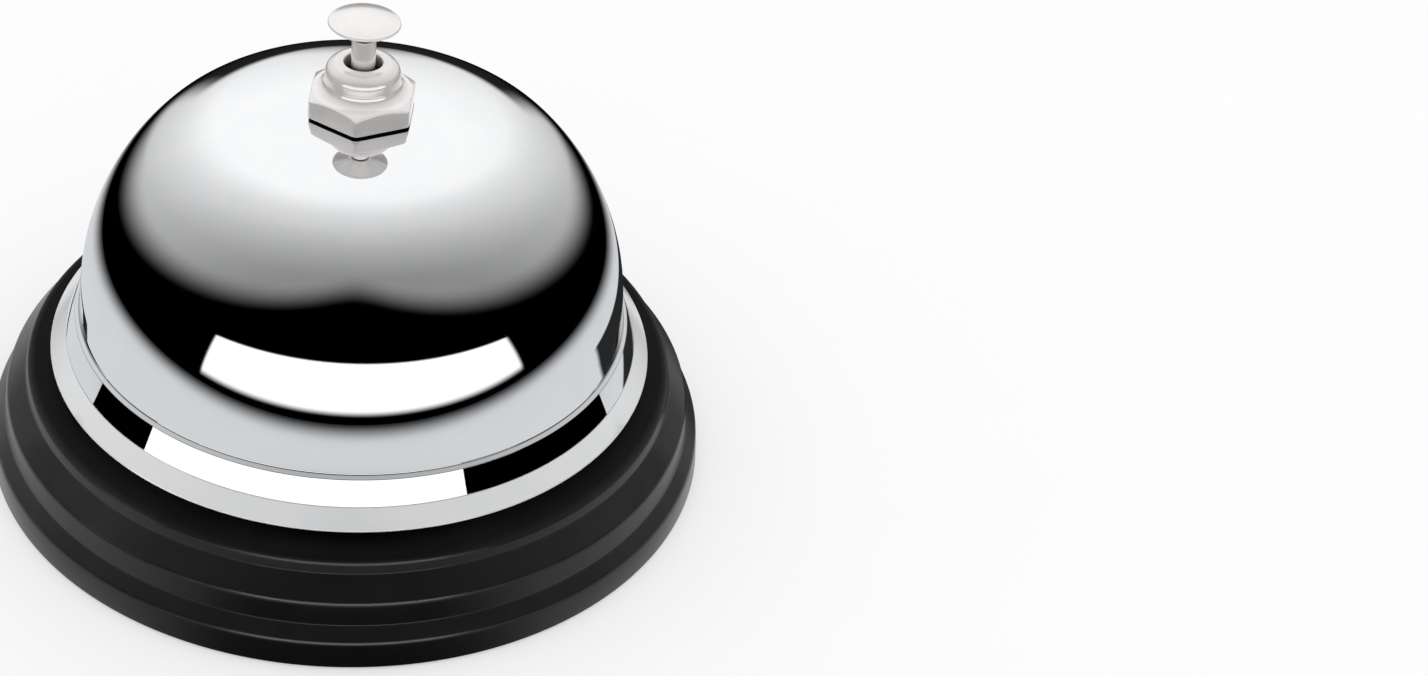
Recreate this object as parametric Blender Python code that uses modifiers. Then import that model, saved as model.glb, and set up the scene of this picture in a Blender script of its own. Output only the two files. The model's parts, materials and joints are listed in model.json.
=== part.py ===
"""Reception desk bell, built as an assembly of separate named pieces.

Metres, +Z up. The origin is the centre of the bell's underside, on the table. The gong, post
and button share the Z axis, and the striker rocks in the Y-Z plane, with its hammer at +Y.
"""

from math import asin, cos, pi, radians, sin, tan

import bmesh
import bpy
from mathutils import Matrix, Vector

# ---------------------------------------------------------------- driving dimensions
GAP = 0.0003  # clearance between pieces that touch or pass through one another

BASE_RADIUS = 0.0425
BASE_TOP = 0.0120
BASE_SHEET = 0.0008
RING_RADII = (0.0386, 0.0410)
RING_HEIGHT = 0.0017

GONG_SEAT_Z = 0.0456
GONG_SEAT_RADIUS = 0.0068
GONG_SHEET = 0.0009
CROWN_RADIUS = 0.0740
SHOULDER_RADIUS = 0.0156
SIDE_RADIUS = 0.0280
CROWN_END = radians(12.5)  # angles of the outer surface's normal from +Z
SHOULDER_END = radians(47.0)
FLARE_START = radians(87.2)
FLARE_END = radians(82.0)
FLARE_RADIUS = 0.0326
BAND_START = (0.03230, 0.0186)  # (radius, z) of the raised band's upper edge
BAND_END = (0.03340, 0.0156)  # where the band meets the rim flange
LIP = (0.0353, 0.0137)  # lower outer edge of the gong

FRAME_SHEET = 0.0012
FRAME_TOP_Z = 0.0386  # middle of the frame's top plate
FRAME_LEG_X = 0.0081
FRAME_FOOT_X = 0.0170
FRAME_Y = (-0.0070, 0.0130)
FRAME_BEND = 0.0018
RIVET_X = 0.0134
RIVET_YS = (-0.0030, 0.0090)
RIVET_SHANK = 0.0012

POST_RADIUS = 0.0031
POST_BORE = 0.00255
POST_GUIDE_BORE = 0.0013
POST_BOTTOM = 0.0342
POST_TOP = 0.0496
SPRING_SEAT_Z = 0.0364
NUT_RADIUS = 0.0055  # across corners, halved
NUT_HEIGHT = 0.0021
WASHER_HEIGHT = 0.0007

CAP_HEX_RADIUS = 0.0065
CAP_HEX_HEIGHT = 0.0025
CAP_HEX_TURN = radians(-5.7)
CAP_TUBE_RADIUS = 0.0042
CAP_SKIRT = 0.0009  # how far the tube spreads where it meets the hexagon
CAP_TOP = 0.0519
CAP_CEILING = 0.0502
CAP_HOLE = 0.0021
CHAMFER_SLOPE = radians(30.0)

TRAVEL = 0.0030  # full stroke of the button
ROD_RADIUS = 0.00135
ROD_STEM_RADIUS = 0.0010
ROD_COLLAR_RADIUS = 0.00230
ROD_COLLAR_HEIGHT = 0.0010
ROD_SHOULDER_Z = 0.0549
BUTTON_RADIUS = 0.0040
BUTTON_RIM_Z = 0.05695
BUTTON_CROWN = 0.0008
SPRING_RADIUS = 0.00185
SPRING_WIRE = 0.0003
SPRING_TURNS = 8

PIVOT = Vector((0.0, 0.0102, 0.0313))
PIN_RADIUS = 0.0010
LEVER_IN = 0.0103  # pivot to the tip under the rod
LEVER_OUT = 0.0197  # pivot to the lever's outer end
LEVER_WIDTH = 0.0060
LEVER_SHEET = 0.0012
TIP_RADIUS = 0.0008
BARREL_RADIUS = 0.0020
STRIKE_ANGLE = radians(-33.3)  # slope of the long arm at full stroke
SWING = 2.0 * asin(TRAVEL / 2.0 / LEVER_IN)
REST_ANGLE = STRIKE_ANGLE - SWING
HAMMER_AT = 0.0175  # pivot to the hammer's axis
HAMMER_RADIUS = 0.0032
HAMMER_HEIGHT = 0.0041

BIG_ROUND = 48  # segments of the gong and base
SMALL_ROUND = 24  # segments of the small turned pieces

# ---------------------------------------------------------------- scene and materials
for old in list(bpy.data.objects):
    bpy.data.objects.remove(old, do_unlink=True)

PARTS = bpy.data.collections.new("service_bell")
CUTTERS = bpy.data.collections.new("cutters")
bpy.context.scene.collection.children.link(PARTS)
bpy.context.scene.collection.children.link(CUTTERS)


def material(name, colour, metallic, roughness):
    mat = bpy.data.materials.new(name)
    mat.use_nodes = True
    shader = mat.node_tree.nodes["Principled BSDF"]
    shader.inputs["Base Color"].default_value = (*colour, 1.0)
    shader.inputs["Metallic"].default_value = metallic
    shader.inputs["Roughness"].default_value = roughness
    return mat


BLACK = material("black_satin_enamel", (0.010, 0.010, 0.011), 0.0, 0.22)
RUBBER = material("black_rubber", (0.020, 0.020, 0.020), 0.0, 0.80)
CHROME = material("polished_chrome", (0.88, 0.89, 0.91), 1.0, 0.03)
NICKEL = material("bright_nickel", (0.78, 0.75, 0.72), 1.0, 0.16)
ZINC = material("zinc_plated_steel", (0.62, 0.63, 0.65), 1.0, 0.35)
STEEL = material("plain_steel", (0.50, 0.50, 0.51), 1.0, 0.30)
SPRING_STEEL = material("spring_steel", (0.42, 0.42, 0.44), 1.0, 0.28)
BRASS = material("turned_brass", (0.78, 0.58, 0.27), 1.0, 0.25)
FIBRE = material("red_fibre", (0.30, 0.05, 0.03), 0.0, 0.75)


# ---------------------------------------------------------------- modelling helpers
def add(name, data, mat=None):
    """Link a new object: a part when it has a material, else a cutter."""
    obj = bpy.data.objects.new(name, data)
    if mat:
        PARTS.objects.link(obj)
        data.materials.append(mat)
    else:
        CUTTERS.objects.link(obj)
        obj.hide_render = True
        obj.display_type = "WIRE"
    return obj


def arc(centre, radius, start, end, steps):
    """Points on an arc in the (radius, z) plane; angles run from +Z towards the outside."""
    angles = [start + (end - start) * i / steps for i in range(steps + 1)]
    return [(centre[0] + radius * sin(a), centre[1] + radius * cos(a)) for a in angles]


def rounded(corners, radii, steps=3):
    """A polyline whose inner corners are turned into arcs of the given radii."""
    points = [tuple(corners[0])]
    for before, corner, after, radius in zip(corners, corners[1:], corners[2:], radii):
        corner = Vector(corner)
        back = (Vector(before) - corner).normalized()
        ahead = (Vector(after) - corner).normalized()
        half = back.angle(ahead) / 2.0
        centre = corner + (back + ahead).normalized() * radius / sin(half)
        first = corner + back * radius / tan(half) - centre
        last = corner + ahead * radius / tan(half) - centre
        for i in range(steps + 1):
            points.append(tuple(centre + first.lerp(last, i / steps).normalized() * radius))
    points.append(tuple(corners[-1]))
    return points


def turned(name, profile, steps, mat=None, loop=False):
    """Revolve (radius, z) points about Z. They run down the outer side; a loop comes back up inside."""
    mesh = bpy.data.meshes.new(name)
    edges = [(i, i + 1) for i in range(len(profile) - 1)]
    if loop:
        edges.append((len(profile) - 1, 0))
    mesh.from_pydata([(r, 0.0, z) for r, z in profile], edges, [])
    obj = add(name, mesh, mat)
    screw = obj.modifiers.new("turn", "SCREW")
    screw.steps = steps
    screw.render_steps = steps
    screw.use_merge_vertices = True
    screw.merge_threshold = 0.00001
    return obj


def solidify(obj, thickness, offset):
    mod = obj.modifiers.new("sheet", "SOLIDIFY")
    mod.thickness = thickness
    mod.offset = offset
    mod.use_even_offset = True
    mod.use_quality_normals = True


def bevel(obj, width):
    mod = obj.modifiers.new("edges", "BEVEL")
    mod.width = width
    mod.segments = 1
    mod.limit_method = "ANGLE"
    mod.angle_limit = radians(50.0)


def boolean(obj, other, operation):
    mod = obj.modifiers.new(other.name, "BOOLEAN")
    mod.operation = operation
    mod.object = other
    mod.solver = "EXACT"


def cylinder(name, radius, length, centre, axis="Z", segments=SMALL_ROUND, mat=None):
    """A closed cylinder or prism with its middle at centre, along one world axis."""
    mesh = bpy.data.meshes.new(name)
    bm = bmesh.new()
    bmesh.ops.create_cone(
        bm, cap_ends=True, segments=segments, radius1=radius, radius2=radius, depth=length
    )
    if axis == "X":
        bmesh.ops.rotate(bm, verts=bm.verts, matrix=Matrix.Rotation(pi / 2.0, 3, "Y"))
    bm.to_mesh(mesh)
    bm.free()
    obj = add(name, mesh, mat)
    obj.location = centre
    return obj


def strip(name, path, low, high, along, mat):
    """A bent strip: a path of (across, up) points swept from low to high along X or Y."""
    mesh = bpy.data.meshes.new(name)
    verts = []
    for across, up in path:
        for side in (low, high):
            verts.append((side, across, up) if along == "X" else (across, side, up))
    faces = [(2 * i, 2 * i + 1, 2 * i + 3, 2 * i + 2) for i in range(len(path) - 1)]
    mesh.from_pydata(verts, [], faces)
    return add(name, mesh, mat)


def chamfered_hex(name, radius, bottom, top, turn, mat, under=True):
    """A hexagonal prism whose corners are cut back by a cone above and, if wanted, under."""
    height = top - bottom
    flat = radius * cos(pi / 6.0)
    drop = (radius - flat) * tan(CHAMFER_SLOPE)
    reach = 0.0004  # how far the turned cutter stands clear of the prism
    obj = cylinder(name, radius, height, (0, 0, (top + bottom) / 2.0), segments=6, mat=mat)
    obj.rotation_euler.z = turn
    wide = radius + reach
    fall = drop * (wide - flat) / (radius - flat)
    profile = [
        (0.0, top + reach),
        (flat - reach / tan(CHAMFER_SLOPE), top + reach),
        (wide, top - fall),
    ]
    if under:
        profile += [(wide, bottom + fall), (flat - reach / tan(CHAMFER_SLOPE), bottom - reach)]
    else:
        profile.append((wide, bottom - reach))
    profile.append((0.0, bottom - reach))
    boolean(obj, turned(name + "_chamfer", profile, SMALL_ROUND), "INTERSECT")
    return obj


def nut(name, bottom, top, turn, mat):
    obj = chamfered_hex(name, NUT_RADIUS, bottom, top, turn, mat)
    length = (top - bottom) * 3.0
    middle = (0, 0, (top + bottom) / 2.0)
    bore = cylinder(name + "_bore", POST_RADIUS + GAP, length, middle)
    boolean(obj, bore, "DIFFERENCE")
    return obj


def washer(name, inner, outer, bottom, top, mat):
    profile = [(inner, top), (outer, top), (outer, bottom), (inner, bottom)]
    return turned(name, profile, SMALL_ROUND, mat, loop=True)


def place(obj, parent):
    """Parent without a parent inverse, so the object's own transform is relative to the joint."""
    obj.parent = parent
    return obj


# ---------------------------------------------------------------- base
def make_base():
    """Stamped base: flat top, three rounded risers with sloping ledges, open underneath."""
    edge = 0.0011
    foot = 0.0003
    corners = [
        (0.0, BASE_TOP),
        (BASE_RADIUS - 0.0046, BASE_TOP),
        (BASE_RADIUS - 0.0043, 0.0102),
        (BASE_RADIUS - 0.0020, 0.0077),
        (BASE_RADIUS - 0.0017, 0.0050),
        (BASE_RADIUS - 0.0003, 0.0034),
        (BASE_RADIUS, GAP),
    ]
    profile = rounded(corners, (edge, foot, edge, foot, edge), steps=2)
    base = turned("base_shell", profile, BIG_ROUND, BLACK)
    solidify(base, BASE_SHEET, -1.0)
    for index, (x, y) in enumerate(rivet_places(), 1):
        hole = cylinder(f"rivet_hole_{index}", RIVET_SHANK + GAP, 0.006, (x, y, BASE_TOP))
        boolean(base, hole, "DIFFERENCE")
    inner, outer = RING_RADII
    corners = [
        (inner + 0.0004, RING_HEIGHT),
        (outer, RING_HEIGHT),
        (outer, 0.0004),
        (outer - 0.0004, 0.0),
        (inner + 0.0004, 0.0),
        (inner, 0.0004),
        (inner, RING_HEIGHT - 0.0004),
    ]
    turned("non_slip_ring", corners, BIG_ROUND, RUBBER, loop=True)


def rivet_places():
    return [(x, y) for x in (-RIVET_X, RIVET_X) for y in RIVET_YS]


# ---------------------------------------------------------------- striker frame
def make_frame():
    """Inverted U of bent strip: two feet, two legs and a top plate that carries the post."""
    foot_z = BASE_TOP + GAP + FRAME_SHEET / 2.0
    corners = [
        (-FRAME_FOOT_X, foot_z),
        (-FRAME_LEG_X, foot_z),
        (-FRAME_LEG_X, FRAME_TOP_Z),
        (FRAME_LEG_X, FRAME_TOP_Z),
        (FRAME_LEG_X, foot_z),
        (FRAME_FOOT_X, foot_z),
    ]
    path = rounded(corners, (FRAME_BEND,) * 4)
    frame = strip("bridge_frame", path, *FRAME_Y, "Y", ZINC)
    solidify(frame, FRAME_SHEET, 0.0)
    bevel(frame, 0.00015)
    post_hole = cylinder("post_hole", POST_RADIUS + GAP, 0.006, (0, 0, FRAME_TOP_Z))
    pin_hole = cylinder("pin_hole", PIN_RADIUS + GAP, 0.030, PIVOT, axis="X")
    boolean(frame, post_hole, "DIFFERENCE")
    boolean(frame, pin_hole, "DIFFERENCE")
    for index, (x, y) in enumerate(rivet_places(), 1):
        hole = cylinder(f"foot_hole_{index}", RIVET_SHANK + GAP, 0.004, (x, y, foot_z))
        boolean(frame, hole, "DIFFERENCE")
    make_rivets(foot_z + FRAME_SHEET / 2.0 + GAP, BASE_TOP - BASE_SHEET - GAP)


def make_rivets(head_z, tail_z):
    """Round-headed rivets through a foot and the base's top, spread flat underneath."""
    head = 0.0024
    dome = 0.0012
    tail = 0.0019
    tail_height = 0.0008
    sphere = (head**2 + dome**2) / (2.0 * dome)
    profile = arc((0.0, head_z + dome - sphere), sphere, 0.0, asin(head / sphere), 4)
    profile += [
        (RIVET_SHANK, head_z),
        (RIVET_SHANK, tail_z),
        (tail, tail_z),
        (tail * 0.85, tail_z - tail_height),
        (0.0, tail_z - tail_height),
    ]
    for index, (x, y) in enumerate(rivet_places(), 1):
        rivet = turned(f"frame_rivet_{index}", profile, 16, STEEL)
        rivet.location = (x, y, 0.0)


# ---------------------------------------------------------------- post and its nuts
def make_post():
    """Hollow post: narrow guide bore at the bottom, a wider bore for the spring, one flange."""
    flange_bottom = FRAME_TOP_Z + FRAME_SHEET / 2.0 + GAP
    flange_top = flange_bottom + 0.0011
    flange_radius = 0.0046
    profile = [
        (POST_RADIUS, POST_TOP),
        (POST_RADIUS, flange_top),
        (flange_radius, flange_top),
        (flange_radius, flange_bottom),
        (POST_RADIUS, flange_bottom),
        (POST_RADIUS, POST_BOTTOM),
        (POST_GUIDE_BORE, POST_BOTTOM),
        (POST_GUIDE_BORE, SPRING_SEAT_Z),
        (POST_BORE, SPRING_SEAT_Z),
        (POST_BORE, POST_TOP),
    ]
    turned("centre_post", profile, SMALL_ROUND, ZINC, loop=True)

    inner = POST_RADIUS + GAP
    washer_top = FRAME_TOP_Z - FRAME_SHEET / 2.0 - GAP
    washer_bottom = washer_top - WASHER_HEIGHT
    ring = washer("post_lock_washer", inner, 0.0050, washer_bottom, washer_top, SPRING_STEEL)
    split = cylinder("washer_split", 0.0007, 0.004, (0.0042, 0, washer_top), segments=4)
    split.scale = (2.4, 1.0, 1.0)
    boolean(ring, split, "DIFFERENCE")
    nut_top = washer_bottom - GAP
    nut("post_nut", nut_top - NUT_HEIGHT, nut_top, radians(12.0), ZINC)

    fibre_top = GONG_SEAT_Z - GONG_SHEET - GAP
    fibre_bottom = fibre_top - WASHER_HEIGHT
    washer("gong_washer", inner, 0.0062, fibre_bottom, fibre_top, FIBRE)
    support_top = fibre_bottom - GAP
    nut("gong_support_nut", support_top - NUT_HEIGHT, support_top, radians(31.0), ZINC)


# ---------------------------------------------------------------- gong and cap nut
def gong_profile():
    """Outer side of the gong, from its centre hole over the dome, wall and band to the lip."""
    points = [(POST_RADIUS + 2.0 * GAP, GONG_SEAT_Z)]
    start = asin(GONG_SEAT_RADIUS / CROWN_RADIUS)
    centre = Vector((0.0, GONG_SEAT_Z - CROWN_RADIUS * cos(start)))
    points += arc(centre, CROWN_RADIUS, start, CROWN_END, 2)
    radius = CROWN_RADIUS
    for next_radius, begin, end in (
        (SHOULDER_RADIUS, CROWN_END, SHOULDER_END),
        (SIDE_RADIUS, SHOULDER_END, FLARE_START),
    ):
        centre += (radius - next_radius) * Vector((sin(begin), cos(begin)))
        radius = next_radius
        points += arc(centre, radius, begin, end, 4)[1:]
    centre += (radius + FLARE_RADIUS) * Vector((sin(FLARE_START), cos(FLARE_START)))
    points += arc(centre, -FLARE_RADIUS, FLARE_START, FLARE_END, 2)[1:]
    return points + [BAND_START, BAND_END, LIP]


def make_gong():
    gong = turned("bell_gong", gong_profile(), BIG_ROUND, CHROME)
    solidify(gong, GONG_SHEET, -1.0)


def make_cap_nut():
    """Hex nut with a round tubular cap and a hole in its top for the rod."""
    hex_top = GONG_SEAT_Z + GAP + CAP_HEX_HEIGHT
    cap = chamfered_hex(
        "cap_nut", CAP_HEX_RADIUS, GONG_SEAT_Z + GAP, hex_top, CAP_HEX_TURN, NICKEL, under=False
    )
    shoulder = 0.0015
    sunk = 0.001  # how far the tube's solid reaches down into the hexagon's
    corners = [
        (0.0, CAP_TOP),
        (CAP_TUBE_RADIUS, CAP_TOP),
        (CAP_TUBE_RADIUS, hex_top + CAP_SKIRT),
        (CAP_TUBE_RADIUS + CAP_SKIRT, hex_top),
        (CAP_TUBE_RADIUS + CAP_SKIRT, hex_top - sunk),
        (0.0, hex_top - sunk),
    ]
    tube = rounded(corners[:3], (shoulder,)) + corners[3:]
    boolean(cap, turned("cap_tube", tube, SMALL_ROUND), "UNION")
    bore_radius = POST_RADIUS + GAP
    clear = 0.002
    bore = [
        (0.0, CAP_TOP + clear),
        (CAP_HOLE, CAP_TOP + clear),
        (CAP_HOLE, CAP_CEILING),
        (bore_radius, CAP_CEILING),
        (bore_radius, GONG_SEAT_Z - clear),
        (0.0, GONG_SEAT_Z - clear),
    ]
    boolean(cap, turned("cap_bore", bore, SMALL_ROUND), "DIFFERENCE")


# ---------------------------------------------------------------- plunger
def make_plunger():
    """Button and rod slide together along the Z axis; the spring under the collar lifts them."""
    slide = bpy.data.objects.new("plunger_axis", None)
    PARTS.objects.link(slide)
    collar_top = CAP_CEILING - GAP
    collar_bottom = collar_top - ROD_COLLAR_HEIGHT
    tip_z = PIVOT.z + TRAVEL / 2.0 + TIP_RADIUS
    spigot = ROD_STEM_RADIUS - 0.0001
    spigot_top = BUTTON_RIM_Z - GAP
    rod = [
        (0.0, spigot_top),
        (spigot, spigot_top),
        (spigot, ROD_SHOULDER_Z),
        (ROD_RADIUS, ROD_SHOULDER_Z),
        (ROD_RADIUS, collar_top),
        (ROD_COLLAR_RADIUS, collar_top),
        (ROD_COLLAR_RADIUS, collar_bottom),
        (ROD_STEM_RADIUS, collar_bottom),
        (ROD_STEM_RADIUS, tip_z + 2.0 * GAP),
        (ROD_STEM_RADIUS - GAP, tip_z + GAP),
        (0.0, tip_z + GAP),
    ]
    place(turned("plunger_rod", rod, SMALL_ROUND, NICKEL), slide)

    sphere = (BUTTON_RADIUS**2 + BUTTON_CROWN**2) / (2.0 * BUTTON_CROWN)
    crown_z = BUTTON_RIM_Z + BUTTON_CROWN - sphere
    bore = spigot + GAP
    hub = ROD_RADIUS + 0.0002
    hub_bottom = ROD_SHOULDER_Z + GAP
    button = arc((0.0, crown_z), sphere, 0.0, asin(BUTTON_RADIUS / sphere), 4)
    button += [
        (BUTTON_RADIUS, BUTTON_RIM_Z - 0.0002),
        (BUTTON_RADIUS - 0.0002, BUTTON_RIM_Z - 0.0004),
        (hub, hub_bottom + 0.0004),
        (hub, hub_bottom),
        (bore, hub_bottom),
        (bore, BUTTON_RIM_Z),
        (0.0, BUTTON_RIM_Z),
    ]
    place(turned("push_button", button, SMALL_ROUND, NICKEL), slide)
    make_spring(SPRING_SEAT_Z + GAP + SPRING_WIRE, collar_bottom - GAP - SPRING_WIRE)


def make_spring(bottom, top):
    """Coil with one closed turn at each end, round the rod's stem inside the post."""
    per_turn = 10
    closed_rise = 2.0 * SPRING_WIRE + 0.00008
    open_turns = SPRING_TURNS - 2
    pitch = (top - bottom - 2.0 * closed_rise) / open_turns
    curve = bpy.data.curves.new("return_spring_path", "CURVE")
    curve.dimensions = "3D"
    curve.bevel_depth = SPRING_WIRE
    curve.bevel_resolution = 2
    curve.use_fill_caps = True
    spline = curve.splines.new("POLY")
    count = SPRING_TURNS * per_turn + 1
    spline.points.add(count - 1)
    for i in range(count):
        turn = i / per_turn
        middle = min(max(turn - 1.0, 0.0), open_turns)
        ends = turn - middle
        angle = 2.0 * pi * turn
        z = bottom + ends * closed_rise + middle * pitch
        spline.points[i].co = (SPRING_RADIUS * cos(angle), SPRING_RADIUS * sin(angle), z, 1.0)
    coil = bpy.data.objects.new("return_spring_path", curve)
    PARTS.objects.link(coil)
    bpy.context.view_layer.update()
    evaluated = coil.evaluated_get(bpy.context.evaluated_depsgraph_get())
    mesh = bpy.data.meshes.new_from_object(evaluated)
    bm = bmesh.new()
    bm.from_mesh(mesh)
    bmesh.ops.remove_doubles(bm, verts=bm.verts, dist=0.00001)
    bm.to_mesh(mesh)
    bm.free()
    bpy.data.objects.remove(coil, do_unlink=True)
    mesh.materials.clear()
    add("return_spring", mesh, SPRING_STEEL)


# ---------------------------------------------------------------- striker
def make_striker():
    """Lever and hammer, built along the joint empty's local Y and tilted to the rest angle."""
    joint = bpy.data.objects.new("striker_axis", None)
    PARTS.objects.link(joint)
    joint.location = PIVOT
    joint.rotation_euler.x = REST_ANGLE

    tip_angle = pi - SWING / 2.0 - REST_ANGLE
    tip = (LEVER_IN * cos(tip_angle), LEVER_IN * sin(tip_angle))
    path = rounded([tip, (0.0, 0.0), (LEVER_OUT, 0.0)], (0.0015,), steps=2)
    half = LEVER_WIDTH / 2.0
    lever = place(strip("striker_arm", path, -half, half, "X", ZINC), joint)
    solidify(lever, LEVER_SHEET, 0.0)
    barrel_length = 2.0 * (FRAME_LEG_X - FRAME_SHEET / 2.0 - GAP - 0.0001)
    solids = (
        ("lever_barrel", BARREL_RADIUS, barrel_length, (0, 0, 0)),
        ("lever_tip", TIP_RADIUS, LEVER_WIDTH + 0.0006, (0, *tip)),
    )
    for name, radius, length, centre in solids:
        boolean(lever, place(cylinder(name, radius, length, centre, axis="X"), joint), "UNION")
    pin_bore = cylinder("lever_pin_bore", PIN_RADIUS + GAP, 0.030, (0, 0, 0), axis="X")
    shank_bore = cylinder("hammer_shank_bore", RIVET_SHANK + GAP, 0.004, (0, HAMMER_AT, 0))
    for cutter in (pin_bore, shank_bore):
        boolean(lever, place(cutter, joint), "DIFFERENCE")

    seat = LEVER_SHEET / 2.0 + GAP
    top = seat + HAMMER_HEIGHT
    tail = 0.0018
    corners = [
        (0.0, top),
        (HAMMER_RADIUS, top - 0.0004),
        (HAMMER_RADIUS, seat),
        (RIVET_SHANK, seat),
    ]
    profile = rounded(corners, (0.0009, 0.0003), steps=2)
    profile += [
        (RIVET_SHANK, -seat),
        (tail, -seat),
        (tail * 0.8, -seat - 0.0006),
        (0.0, -seat - 0.0006),
    ]
    hammer = place(turned("hammer_head", profile, SMALL_ROUND, BRASS), joint)
    hammer.location.y = HAMMER_AT


def make_pivot():
    """Headed pin through both legs of the frame, held by a clip in a groove at its +X end."""
    leg_face = FRAME_LEG_X + FRAME_SHEET / 2.0
    head_in = -(leg_face + GAP)
    head_out = head_in - 0.0010
    head_radius = 0.0019
    groove_radius = 0.0007
    groove_start = leg_face + GAP
    groove_end = groove_start + 0.0010
    pin_end = groove_end + 0.0008
    profile = [
        (0.0, pin_end),
        (PIN_RADIUS - 0.0002, pin_end),
        (PIN_RADIUS, pin_end - 0.0002),
        (PIN_RADIUS, groove_end),
        (groove_radius, groove_end),
        (groove_radius, groove_start),
        (PIN_RADIUS, groove_start),
        (PIN_RADIUS, head_in),
        (head_radius, head_in),
        (head_radius, head_out + 0.0003),
        (head_radius - 0.0003, head_out),
        (0.0, head_out),
    ]
    pin = turned("pivot_pin", profile, SMALL_ROUND, STEEL)
    pin.location = PIVOT
    pin.rotation_euler.y = pi / 2.0

    clip_radius = 0.0022
    middle = (groove_start + groove_end) / 2.0
    half = 0.0002
    inner = groove_radius + GAP
    clip = washer("pivot_clip", inner, clip_radius, middle - half, middle + half, SPRING_STEEL)
    clip.location = PIVOT
    clip.rotation_euler.y = pi / 2.0
    mouth_at = PIVOT + Vector((middle, 0.0, clip_radius))
    mouth = cylinder("clip_mouth", 0.0015, 0.003, mouth_at, axis="X", segments=12)
    boolean(clip, mouth, "DIFFERENCE")


make_base()
make_frame()
make_post()
make_gong()
make_cap_nut()
make_plunger()
make_striker()
make_pivot()
bpy.context.view_layer.update()
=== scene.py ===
"""Looks of the reception desk bell: fine meshes, materials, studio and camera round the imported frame.

Metres, +Z up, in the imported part's own frame. Every piece stands for one CAD node and rides on its
body. The main sizes are read from the frame, and the ones below are those that a box cannot tell.
"""

import json
from math import asin, atan2, cos, hypot, pi, radians, sin, tan

import bpy
from mathutils import Matrix, Vector


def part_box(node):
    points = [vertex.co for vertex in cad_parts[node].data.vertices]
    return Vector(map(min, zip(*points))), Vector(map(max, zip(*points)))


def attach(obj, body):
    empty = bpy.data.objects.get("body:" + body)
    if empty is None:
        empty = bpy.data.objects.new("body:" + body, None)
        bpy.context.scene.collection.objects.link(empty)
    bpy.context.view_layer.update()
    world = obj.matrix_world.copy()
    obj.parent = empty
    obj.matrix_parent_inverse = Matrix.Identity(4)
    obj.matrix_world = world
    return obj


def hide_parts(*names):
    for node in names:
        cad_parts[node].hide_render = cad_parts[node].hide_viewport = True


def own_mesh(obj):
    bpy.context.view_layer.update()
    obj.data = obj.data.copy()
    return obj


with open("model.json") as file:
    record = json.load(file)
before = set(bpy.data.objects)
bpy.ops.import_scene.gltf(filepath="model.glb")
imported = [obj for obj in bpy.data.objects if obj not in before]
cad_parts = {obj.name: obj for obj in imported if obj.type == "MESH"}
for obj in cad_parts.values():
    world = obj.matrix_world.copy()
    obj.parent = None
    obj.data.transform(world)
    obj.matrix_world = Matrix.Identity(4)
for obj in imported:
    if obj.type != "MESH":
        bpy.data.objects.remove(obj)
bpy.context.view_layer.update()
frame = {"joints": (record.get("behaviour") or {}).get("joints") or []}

# ---------------------------------------------------------------- sizes taken from the frame
JOINTS = {joint["name"]: joint for joint in frame["joints"]}
TRAVEL = JOINTS["button_press"]["range_m"][1]
PIVOT = Vector(JOINTS["striker_swing"]["pos_m"])


def low(node):
    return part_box(node)[0]


def high(node):
    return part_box(node)[1]


BASE_RADIUS = high("base_shell").x
BASE_TOP = high("base_shell").z
FOOT_Z = low("base_shell").z
RING_OUTER = high("non_slip_ring").x
RING_TOP = high("non_slip_ring").z
LIP_RADIUS = high("bell_gong").x
SEAT_Z = high("bell_gong").z
FRAME_LOW = low("bridge_frame")
FRAME_HIGH = high("bridge_frame")
CAP_BOTTOM = low("cap_nut").z
CAP_TOP = high("cap_nut").z
POST_BOTTOM = low("centre_post").z
POST_TOP = high("centre_post").z
BUTTON_RADIUS = high("push_button").x
BUTTON_TOP = high("push_button").z

# ---------------------------------------------------------------- sizes the boxes cannot tell
GAP = 0.0003  # clearance between pieces that touch or pass through one another

BASE_SHEET = 0.0008
RING_WIDTH = 0.0024

GONG_SHEET = 0.0009
SEAT_RADIUS = 0.0068
CROWN_RADIUS = 0.0740
SHOULDER_RADIUS = 0.0156
SIDE_RADIUS = 0.0280
CROWN_END = radians(12.5)  # angles of the outer surface's normal from +Z
SHOULDER_END = radians(47.0)
FLARE_START = radians(87.2)
FLARE_END = radians(82.0)
FLARE_RADIUS = 0.0326
BAND_START = (0.03230, 0.0186)  # (radius, z) of the raised band's upper edge
BAND_END = (0.03340, 0.0156)  # where the band meets the rim flange
LIP = (LIP_RADIUS, 0.0137)

FRAME_SHEET = 0.0012
FRAME_LEG_X = 0.0081
FRAME_BEND = 0.0018
RIVET_X = 0.0134
RIVET_YS = (-0.0030, 0.0090)
RIVET_SHANK = 0.0012

POST_RADIUS = 0.0031
POST_BORE = 0.00255
POST_GUIDE_BORE = 0.0013
SPRING_SEAT_Z = 0.0364
THREAD_PITCH = 0.0005
THREAD_DEPTH = 0.00024
NUT_RADIUS = 0.0055  # across corners, halved
LOCK_WASHER_RADIUS = 0.0050

CAP_HEX_RADIUS = 0.0065
CAP_HEX_HEIGHT = 0.0025
CAP_HEX_TURN = radians(-5.7)
CAP_TUBE_RADIUS = 0.0042
CAP_CEILING = 0.0502
CAP_HOLE = 0.0021
CHAMFER_SLOPE = radians(30.0)

ROD_RADIUS = 0.00135
ROD_STEM_RADIUS = 0.0010
ROD_COLLAR_RADIUS = 0.00230
ROD_COLLAR_HEIGHT = 0.0010
ROD_SHOULDER_Z = 0.0549
BUTTON_CROWN = 0.0008
SPRING_RADIUS = 0.00185
SPRING_WIRE = 0.0003
SPRING_TURNS = 8

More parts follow.
